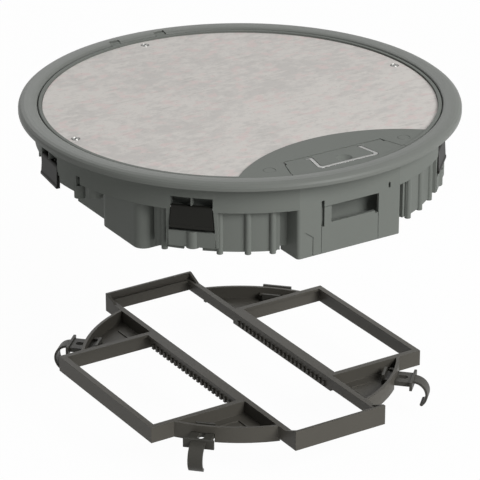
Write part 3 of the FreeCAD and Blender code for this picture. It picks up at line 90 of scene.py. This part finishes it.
class Channel:
    """One output socket of a material's node tree, with arithmetic that adds Math nodes."""

    def __init__(self, graph: "Graph", socket: bpy.types.NodeSocket) -> None:
        """Keeps the tree and the socket.

        Args:
            graph: The tree the socket belongs to.
            socket: An output socket of one of its nodes.
        """
        self.graph = graph
        self.socket = socket

    def _math(self, operation: str, first: SocketValue, second: SocketValue) -> "Channel":
        """Adds one Math node and returns its result."""
        return self.graph.add("ShaderNodeMath", {"operation": operation}, {0: first, 1: second})[0]

    def __add__(self, other: SocketValue) -> "Channel":
        """Sum."""
        return self._math("ADD", self, other)

    def __radd__(self, other: float) -> "Channel":
        """Sum with a number on the left."""
        return self._math("ADD", other, self)

    def __sub__(self, other: SocketValue) -> "Channel":
        """Difference."""
        return self._math("SUBTRACT", self, other)

    def __rsub__(self, other: float) -> "Channel":
        """Difference with a number on the left."""
        return self._math("SUBTRACT", other, self)

    def __mul__(self, other: SocketValue) -> "Channel":
        """Product."""
        return self._math("MULTIPLY", self, other)

    def __rmul__(self, other: float) -> "Channel":
        """Product with a number on the left."""
        return self._math("MULTIPLY", other, self)

    def over(self, low: float, high: float) -> "Channel":
        """The channel as a soft mask that rises from 0 at low to 1 at high."""
        return self.graph.add(
            "ShaderNodeMapRange",
            {"interpolation_type": "SMOOTHSTEP"},
            {"Value": self, "From Min": low, "From Max": high, "To Min": 0.0, "To Max": 1.0},
        )[0]


class Graph:
    """Node tree of one material or of the surround, written as Python expressions."""

    def __init__(self, owner: Union[bpy.types.Material, bpy.types.World]) -> None:
        """Empties the owner's tree.

        Args:
            owner: The material or world that is built.
        """
        self.owner = owner
        owner.use_nodes = True
        self.tree = owner.node_tree
        self.tree.nodes.clear()

    @classmethod
    def named(cls, name: str) -> "Graph":
        """Tree of a new material with the given name."""
        return cls(bpy.data.materials.new(name))

    def add(
        self, kind: str, settings: Optional[dict[str, Any]] = None, inputs: Optional[dict[Any, SocketValue]] = None
    ) -> list[Channel]:
        """Adds a node.

        Args:
            kind: Type of the node.
            settings: Its own settings, set before its sockets.
            inputs: Values or channels for its input sockets, by name or number.

        Returns:
            Its output sockets as channels.
        """
        node = self.tree.nodes.new(kind)
        for key, value in (settings or {}).items():
            setattr(node, key, value)
        for key, value in (inputs or {}).items():
            target = node.inputs[key]
            if isinstance(value, Channel):
                self.tree.links.new(value.socket, target)
            else:
                target.default_value = value
        return [Channel(self, output) for output in node.outputs]

    def place(self, scale: float = 1.0, stretch: Sequence[float] = (1.0, 1.0, 1.0)) -> Channel:
        """Object coordinates, in units of one over the scale.

        Args:
            scale: Repeats per metre.
            stretch: Factor along each axis.

        Returns:
            The scaled coordinates.
        """
        coordinates = self.add("ShaderNodeTexCoord")[3]
        factors = tuple(scale * s for s in stretch)
        return self.add("ShaderNodeVectorMath", {"operation": "MULTIPLY"}, {0: coordinates, 1: factors})[0]

    def noise(self, scale: float, detail: float = 3.0, stretch: Sequence[float] = (1.0, 1.0, 1.0)) -> Channel:
        """Cloudy noise from 0 to 1."""
        return self.add(
            "ShaderNodeTexNoise",
            {"noise_dimensions": "3D"},
            {"Vector": self.place(scale, stretch), "Scale": 1.0, "Detail": detail, "Roughness": 0.55},
        )[0]

    def mix(self, mask: SocketValue, first: SocketValue, second: SocketValue) -> Channel:
        """Colour that goes from the first to the second as the mask rises.

        Args:
            mask: Share of the second colour.
            first: Colour where the mask is 0.
            second: Colour where the mask is 1.

        Returns:
            The mixed colour.
        """
        node = self.tree.nodes.new("ShaderNodeMix")
        node.data_type = "RGBA"
        for socket, value in ((node.inputs[0], mask), (node.inputs[6], first), (node.inputs[7], second)):
            if isinstance(value, Channel):
                self.tree.links.new(value.socket, socket)
            elif isinstance(value, (int, float)):
                socket.default_value = value
            else:
                socket.default_value = (*value, 1.0)
        return Channel(self, node.outputs[2])

    def bump(self, height: Channel, depth_mm: float, base: Optional[Channel] = None) -> Channel:
        """Normal with relief.

        Args:
            height: Height from 0 to 1.
            depth_mm: Depth that 1 stands for, in millimetres.
            base: Normal to start from.

        Returns:
            The changed normal.
        """
        inputs: dict[Any, SocketValue] = {"Height": height, "Strength": 1.0, "Distance": depth_mm * MM}
        if base is not None:
            inputs["Normal"] = base
        return self.add("ShaderNodeBump", None, inputs)[0]

    def softened(self, radius_mm: float) -> Channel:
        """Normal that rounds hard edges by a small radius."""
        return self.add("ShaderNodeBevel", {"samples": 4}, {"Radius": radius_mm * MM})[0]

    def surface(self, inputs: dict[Any, SocketValue]) -> bpy.types.Material:
        """Closes the tree with a Principled surface.

        Args:
            inputs: Its sockets' values or channels.

        Returns:
            The finished material.
        """
        filled = {k: (*v, 1.0) if k == "Base Color" and isinstance(v, tuple) else v for k, v in inputs.items()}
        shader = self.add("ShaderNodeBsdfPrincipled", None, filled)[0]
        self.add("ShaderNodeOutputMaterial", None, {"Surface": shader})
        return self.owner


# ----------------------------------------------------------------------------------------------- finishes


@dataclass(frozen=True)
class MouldedPlastic:
    """Grained moulded plastic with slightly worn edges."""

    name: str
    colour: Colour
    mottle: float = 0.10
    roughness: float = 0.52
    grain_per_m: float = 1900.0
    grain_mm: float = 0.035
    edge_mm: float = 0.35
    sheen_gloss: float = 0.35
    clouds_per_m: float = 14.0
    flow_per_m: float = 60.0

    def make(self) -> bpy.types.Material:
        """Builds the material."""
        graph = Graph.named(self.name)
        cloud = graph.noise(self.clouds_per_m, 4.0)
        flow = graph.noise(self.flow_per_m, 3.0, (1.0, 1.0, 0.25))
        grain = graph.noise(self.grain_per_m, 2.0)
        light = tuple(c * (1.0 + self.mottle) for c in self.colour)
        dark = tuple(c * (1.0 - self.mottle) for c in self.colour)
        base = graph.mix(cloud * 0.6 + flow * 0.4, dark, light)
        rough = self.roughness - 0.06 + cloud * 0.08 + grain * 0.06
        normal = graph.bump(grain, self.grain_mm, graph.softened(self.edge_mm))
        return graph.surface(
            {"Base Color": base, "Roughness": rough, "Normal": normal, "Specular IOR Level": self.sheen_gloss}
        )


@dataclass(frozen=True)
class PolishedSteel:
    """Drawn and polished steel."""

    name: str
    colour: Colour = (0.47, 0.47, 0.46)
    roughness: float = 0.24
    edge_mm: float = 0.30
    drawn_per_m: float = 900.0
    smears_per_m: float = 120.0

    def make(self) -> bpy.types.Material:
        """Builds the material."""
        graph = Graph.named(self.name)
        drawn = graph.noise(self.drawn_per_m, 3.0, (0.06, 1.0, 1.0))
        smear = graph.noise(self.smears_per_m, 3.0)
        base = graph.mix(smear, tuple(c * 0.9 for c in self.colour), self.colour)
        normal = graph.bump(drawn, 0.01, graph.softened(self.edge_mm))
        return graph.surface(
            {"Base Color": base, "Metallic": 1.0, "Roughness": self.roughness + drawn * 0.10, "Normal": normal}
        )


@dataclass(frozen=True)
class LaidFloorCovering:
    """Stone-look floor covering of the lid's inlay: clouded, speckled, with pinkish marks and fine scratches."""

    name: str
    pale: Colour = (0.590, 0.566, 0.538)
    grey: Colour = (0.495, 0.475, 0.455)
    rosy: Colour = (0.600, 0.500, 0.485)
    speck: Colour = (0.36, 0.34, 0.315)
    broad_per_m: float = 6.0
    clouds_per_m: float = 22.0
    patches_per_m: float = 200.0
    marks_per_m: float = 95.0
    specks_per_m: float = 520.0
    scratches_per_m: float = 330.0
    relief_mm: float = 0.05

    def make(self) -> bpy.types.Material:
        """Builds the material."""
        graph = Graph.named(self.name)
        cloud = graph.noise(self.clouds_per_m, 4.0)
        broad = graph.noise(self.broad_per_m, 2.0)
        patch = graph.noise(self.patches_per_m, 5.0, (0.6, 1.0, 1.0))
        marks = graph.noise(self.marks_per_m, 4.0, (1.0, 1.4, 1.0)).over(0.53, 0.66)
        specks = graph.noise(self.specks_per_m, 2.0).over(0.58, 0.72)
        lines = graph.noise(self.scratches_per_m, 2.0, (0.10, 1.0, 1.0)).over(0.61, 0.70)
        clouded = graph.mix((broad * 0.25 + cloud * 0.25 + patch * 0.50).over(0.40, 0.58), self.grey, self.pale)
        rosy = graph.mix(marks * 0.70, clouded, self.rosy)
        base = graph.mix(specks * 0.30 + lines * 0.26, rosy, self.speck)
        relief = specks * 0.5 + patch * 0.5 - lines * 0.3
        return graph.surface(
            {"Base Color": base, "Roughness": 0.62 + patch * 0.15, "Normal": graph.bump(relief, self.relief_mm),
             "Specular IOR Level": 0.30}
        )


@dataclass(frozen=True)
class ClosedCellFoam:
    """Black closed-cell foam."""

    name: str
    colour: Colour = (0.025, 0.025, 0.026)
    cells_per_m: float = 1400.0

    def make(self) -> bpy.types.Material:
        """Builds the material."""
        graph = Graph.named(self.name)
        cells = graph.add(
            "ShaderNodeTexVoronoi", {"feature": "F1"}, {"Vector": graph.place(self.cells_per_m), "Scale": 1.0}
        )[0]
        base = graph.mix(cells, self.colour, tuple(c * 2.2 for c in self.colour))
        return graph.surface({"Base Color": base, "Roughness": 0.9, "Normal": graph.bump(cells, 0.12)})


Finish = Union[MouldedPlastic, PolishedSteel, LaidFloorCovering, ClosedCellFoam]

FINISHES: dict[Slot, Finish] = {
    Slot.HOUSING: MouldedPlastic("iron_grey_housing", (0.144, 0.154, 0.141), mottle=0.06, sheen_gloss=0.08),
    Slot.FRAME: MouldedPlastic("dark_frame_plastic", (0.080, 0.075, 0.064), mottle=0.14, roughness=0.44,
                               grain_mm=0.02, sheen_gloss=0.18),
    Slot.LATCH: MouldedPlastic("dark_latch_plastic", (0.056, 0.054, 0.047), mottle=0.14, roughness=0.42,
                               grain_mm=0.02, sheen_gloss=0.18),
    Slot.CLAW: MouldedPlastic("black_claw_plastic", (0.014, 0.014, 0.012), roughness=0.45, sheen_gloss=0.12),
    Slot.STEEL: PolishedSteel("polished_steel"),
    Slot.PLATE: PolishedSteel("zinc_plated_steel", (0.46, 0.47, 0.48), 0.38),
    Slot.INLAY: LaidFloorCovering("stone_floor_inlay"),
    Slot.FOAM: ClosedCellFoam("sealing_foam"),
}
SCREW_STEEL = PolishedSteel("screw_steel", (0.27, 0.27, 0.26), 0.22)


# ----------------------------------------------------------------------------------------- sub-assemblies


def mesh_object(name: str, shape: bmesh.types.BMesh, material: bpy.types.Material) -> bpy.types.Object:
    """Turns a finished mesh into an object with one material.

    Args:
        name: Name of the piece.
        shape: Its mesh, which is freed.
        material: Its finish.

    Returns:
        The object, linked to the scene.
    """
    data = bpy.data.meshes.new(name)
    shape.to_mesh(data)
    shape.free()
    data.materials.append(material)
    made = bpy.data.objects.new(name, data)
    bpy.context.scene.collection.objects.link(made)
    return made


@dataclass
class CarriedNodes:
    """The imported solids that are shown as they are, each in its own finish."""

    materials: dict[Slot, bpy.types.Material]
    bead: MouldedPlastic = MouldedPlastic("smooth_bead_plastic", (0.140, 0.148, 0.136), mottle=0.05, roughness=0.40,
                                          grain_mm=0.012, sheen_gloss=0.22)
    bail: PolishedSteel = PolishedSteel("bail_steel", (0.30, 0.30, 0.29), 0.14)

    def dress(self) -> None:
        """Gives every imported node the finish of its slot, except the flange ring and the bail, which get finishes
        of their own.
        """
        slots = {part["node"]: Slot(part["material_slot"]) for part in frame["record"]["subparts"]}
        special = {"flange_ring": self.bead.make(), "bail_handle": self.bail.make()}
        for name, obj in frame["nodes"].items():
            finish = special.get(name, self.materials[slots[name]])
            if not obj.data.materials:
                obj.data.materials.append(finish)
            for place in range(len(obj.data.materials)):
                obj.data.materials[place] = finish
            LOG.info("node %s in %s", name, finish.name)


@dataclass
class LidScrews:
    """The three pan-headed screws of the inlay, with a rounded rim, a sunk ring and a cross recess."""

    material: bpy.types.Material
    pitch_radius_mm: float = 137.8
    angles_deg: tuple[float, ...] = (0.0, 90.0, 180.0)
    head_radius_mm: float = 3.25
    head_mm: float = 1.45
    shank_radius_mm: float = 1.3
    edge_mm: float = 0.45
    ring_mm: tuple[float, float, float] = (1.9, 3.0, 0.75)
    cross_half_mm: float = 0.36
    cross_reach_mm: float = 1.6
    cross_depth_mm: float = 1.0
    cross_run_out_mm: float = 0.6
    recess_step_deg: float = 17.0
    turns: int = 96
    rings: int = 40

    def build(self) -> None:
        """Builds the screws in place of the plain ones and lets them ride the lid."""
        low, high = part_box("lid_screws")
        for number, angle in enumerate(self.angles_deg):
            shape = bmesh.new()
            self.screw(shape, high[2] / MM, low[2] / MM, self.recess_step_deg * number)
            made = mesh_object(f"inlay_screw_{number}", shape, self.material)
            turn = math.radians(angle)
            made.location = Vector((math.cos(turn), math.sin(turn), 0.0)) * (self.pitch_radius_mm * MM)
            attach(made, "lid")
            if number == 0:
                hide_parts("lid_screws")
            LOG.info("inlay screw %d of %d", number + 1, len(self.angles_deg))

    def height(self, radius: float, angle: float) -> float:
        """How far the head's face lies under its crown.

        Args:
            radius: Distance from the screw's axis in millimetres.
            angle: Direction from the axis in radians.

        Returns:
            The drop in millimetres.
        """
        drop = 0.0
        rim = self.head_radius_mm - self.edge_mm
        if radius > rim:
            drop += self.edge_mm * (1.0 - math.sqrt(max(0.0, 1.0 - ((radius - rim) / self.edge_mm) ** 2)))
        inner, outer, depth = self.ring_mm
        if inner < radius < outer:
            drop += depth * math.sin(math.pi * (radius - inner) / (outer - inner))
        across = min(abs(radius * math.cos(angle)), abs(radius * math.sin(angle)))
        if across < self.cross_half_mm and radius < self.cross_reach_mm:
            drop += self.cross_depth_mm * min(1.0, (self.cross_reach_mm - radius) / self.cross_run_out_mm)
        return drop

    def screw(self, shape: bmesh.types.BMesh, top_mm: float, bottom_mm: float, turn_deg: float) -> None:
        """Adds one closed screw, its head on a polar grid.

        Args:
            shape: The mesh that takes it.
            top_mm: Height of the crown.
            bottom_mm: Height of the shank's end.
            turn_deg: How far the recess is turned.
        """
        start = math.radians(turn_deg)
        crown = shape.verts.new((0.0, 0.0, (top_mm - self.height(0.0, 0.0)) * MM))
        rows = []
        for step in range(1, self.rings + 1):
            radius = self.head_radius_mm * step / self.rings
            row = []
            for place in range(self.turns):
                angle = 2.0 * math.pi * place / self.turns
                across, along = radius * math.cos(angle + start), radius * math.sin(angle + start)
                row.append(shape.verts.new((across * MM, along * MM, (top_mm - self.height(radius, angle)) * MM)))
            rows.append(row)
        foot_mm = top_mm - self.head_mm
        rows.append(self.hoop(shape, self.head_radius_mm, foot_mm, start))
        rows.append(self.hoop(shape, self.shank_radius_mm, foot_mm, start))
        rows.append(self.hoop(shape, self.shank_radius_mm, bottom_mm, start))
        for place in range(self.turns):
            after = (place + 1) % self.turns
            shape.faces.new((crown, rows[0][place], rows[0][after]))
            for inner, outer in zip(rows, rows[1:]):
                shape.faces.new((inner[place], outer[place], outer[after], inner[after]))
        shape.faces.new(list(reversed(rows[-1])))

    def hoop(self, shape: bmesh.types.BMesh, radius: float, height: float, start: float) -> list[bmesh.types.BMVert]:
        """Adds one level ring of vertices.

        Args:
            shape: The mesh that takes it.
            radius: Its radius in millimetres.
            height: Its height in millimetres.
            start: Direction of its first vertex in radians.

        Returns:
            The vertices in order.
        """
        turns = [start + 2.0 * math.pi * place / self.turns for place in range(self.turns)]
        return [shape.verts.new((radius * math.cos(t) * MM, radius * math.sin(t) * MM, height * MM)) for t in turns]


@dataclass
class Studio:
    """Pale floor, soft lamps, a white surround and the camera."""

    floor_drop: float = 0.012
    floor_half: float = 6.0
    floor_glow: float = 0.97
    floor_colour: Colour = (0.82, 0.82, 0.81)
    target: tuple[float, float, float] = (0.0, 0.0, -0.1092)
    distance: float = 2.192
    azimuth_deg: float = -32.08
    elevation_deg: float = 24.26
    lens: float = 219.45
    fill: float = 0.17
    key_power: float = 54.0
    key_azimuth_deg: float = 286.0
    key_elevation_deg: float = 32.0
    key_distance: float = 2.4
    key_size: float = 1.3
    top_power: float = 9.0
    top_height: float = 2.5
    top_size: float = 1.8
    rear_power: float = 12.0
    rear_azimuth_deg: float = 75.0
    rear_elevation_deg: float = 42.0
    rear_size: float = 1.8
    white: Colour = (1.0, 1.0, 1.0)

    def build(self) -> None:
        """Builds the whole studio."""
        self.floor()
        self.world()
        self.lamps()
        self.camera()
        bpy.context.scene.view_settings.view_transform = "Standard"

    def seen(self, graph: Graph) -> Channel:
        """1 for rays that look at the background straight, in a reflection or through glass."""
        path = graph.add("ShaderNodeLightPath")
        either = graph.add("ShaderNodeMath", {"operation": "MAXIMUM"}, {0: path[0], 1: path[3]})[0]
        return graph.add("ShaderNodeMath", {"operation": "MAXIMUM"}, {0: either, 1: path[6]})[0]

    def floor(self) -> None:
        """Pale floor that keeps a faint shadow."""
        z = CAD_BOX[0][2] - self.floor_drop
        half = self.floor_half
        shape = bmesh.new()
        shape.faces.new([shape.verts.new((x, y, z)) for x, y in
                         ((-half, -half), (half, -half), (half, half), (-half, half))])
        graph = Graph.named("pale_floor")
        matte = graph.add("ShaderNodeBsdfDiffuse", None, {"Color": (*self.floor_colour, 1.0)})[0]
        bright = graph.add("ShaderNodeEmission", None, {"Color": (*self.white, 1.0), "Strength": 1.0})[0]
        share = self.seen(graph) * self.floor_glow
        blend = graph.add("ShaderNodeMixShader", None, {0: share, 1: matte, 2: bright})[0]
        graph.add("ShaderNodeOutputMaterial", None, {"Surface": blend})
        mesh_object("floor", shape, graph.owner)

    def world(self) -> None:
        """Soft surround: white where it is seen, plain fill light elsewhere."""
        world = bpy.data.worlds.new("surround")
        bpy.context.scene.world = world
        graph = Graph(world)
        strength = self.seen(graph) * (1.0 - self.fill) + self.fill
        shade = graph.add("ShaderNodeBackground", None, {"Color": (*self.white, 1.0), "Strength": strength})[0]
        graph.add("ShaderNodeOutputWorld", None, {"Surface": shade})

    def lamp(self, name: str, power: float, size: float, aim: Vector, distance: float) -> None:
        """Adds a round soft lamp that points at the object.

        Args:
            name: Name of the lamp.
            power: Power in watts.
            size: Diameter in metres.
            aim: Direction from the object to the lamp.
            distance: Distance from the object in metres.
        """
        lamp = bpy.data.lights.new(name, "AREA")
        lamp.shape = "DISK"
        lamp.size = size
        lamp.energy = power
        holder = bpy.data.objects.new(name, lamp)
        holder.location = Vector(self.target) + aim * distance
        holder.rotation_euler = aim.to_track_quat("Z", "Y").to_euler()
        bpy.context.scene.collection.objects.link(holder)

    @staticmethod
    def aim(azimuth_deg: float, elevation_deg: float) -> Vector:
        """Direction from the object, by its angle from +X and its height above the horizon."""
        turn, rise = math.radians(azimuth_deg), math.radians(elevation_deg)
        return Vector((math.cos(turn) * math.cos(rise), math.sin(turn) * math.cos(rise), math.sin(rise)))

    def lamps(self) -> None:
        """Large soft lamp to the right of the camera, a weaker one overhead and one behind."""
        key = self.aim(self.key_azimuth_deg, self.key_elevation_deg)
        rear = self.aim(self.rear_azimuth_deg, self.rear_elevation_deg)
        self.lamp("key", self.key_power, self.key_size, key, self.key_distance)
        self.lamp("rear", self.rear_power, self.rear_size, rear, self.key_distance)
        self.lamp("overhead", self.top_power, self.top_size, Vector((0.0, 0.0, 1.0)), self.top_height)

    def camera(self) -> None:
        """Camera at the object's presentation angle."""
        lens = bpy.data.cameras.new("camera")
        lens.lens = self.lens
        lens.sensor_width = 36.0
        lens.clip_end = 50.0
        turn, rise = math.radians(self.azimuth_deg), math.radians(self.elevation_deg)
        back = Vector((math.sin(turn) * math.cos(rise), -math.cos(turn) * math.cos(rise), math.sin(rise)))
        holder = bpy.data.objects.new("camera", lens)
        holder.location = Vector(self.target) + back * self.distance
        holder.rotation_euler = back.to_track_quat("Z", "Y").to_euler()
        bpy.context.scene.collection.objects.link(holder)
        bpy.context.scene.camera = holder


def main() -> None:
    """Builds the looks in order."""
    logging.basicConfig(level=logging.INFO, format="%(message)s")
    materials = {slot: finish.make() for slot, finish in FINISHES.items()}
    CarriedNodes(materials).dress()
    LidScrews(SCREW_STEEL.make()).build()
    Studio().build()


if __name__ == "__main__":
    main()
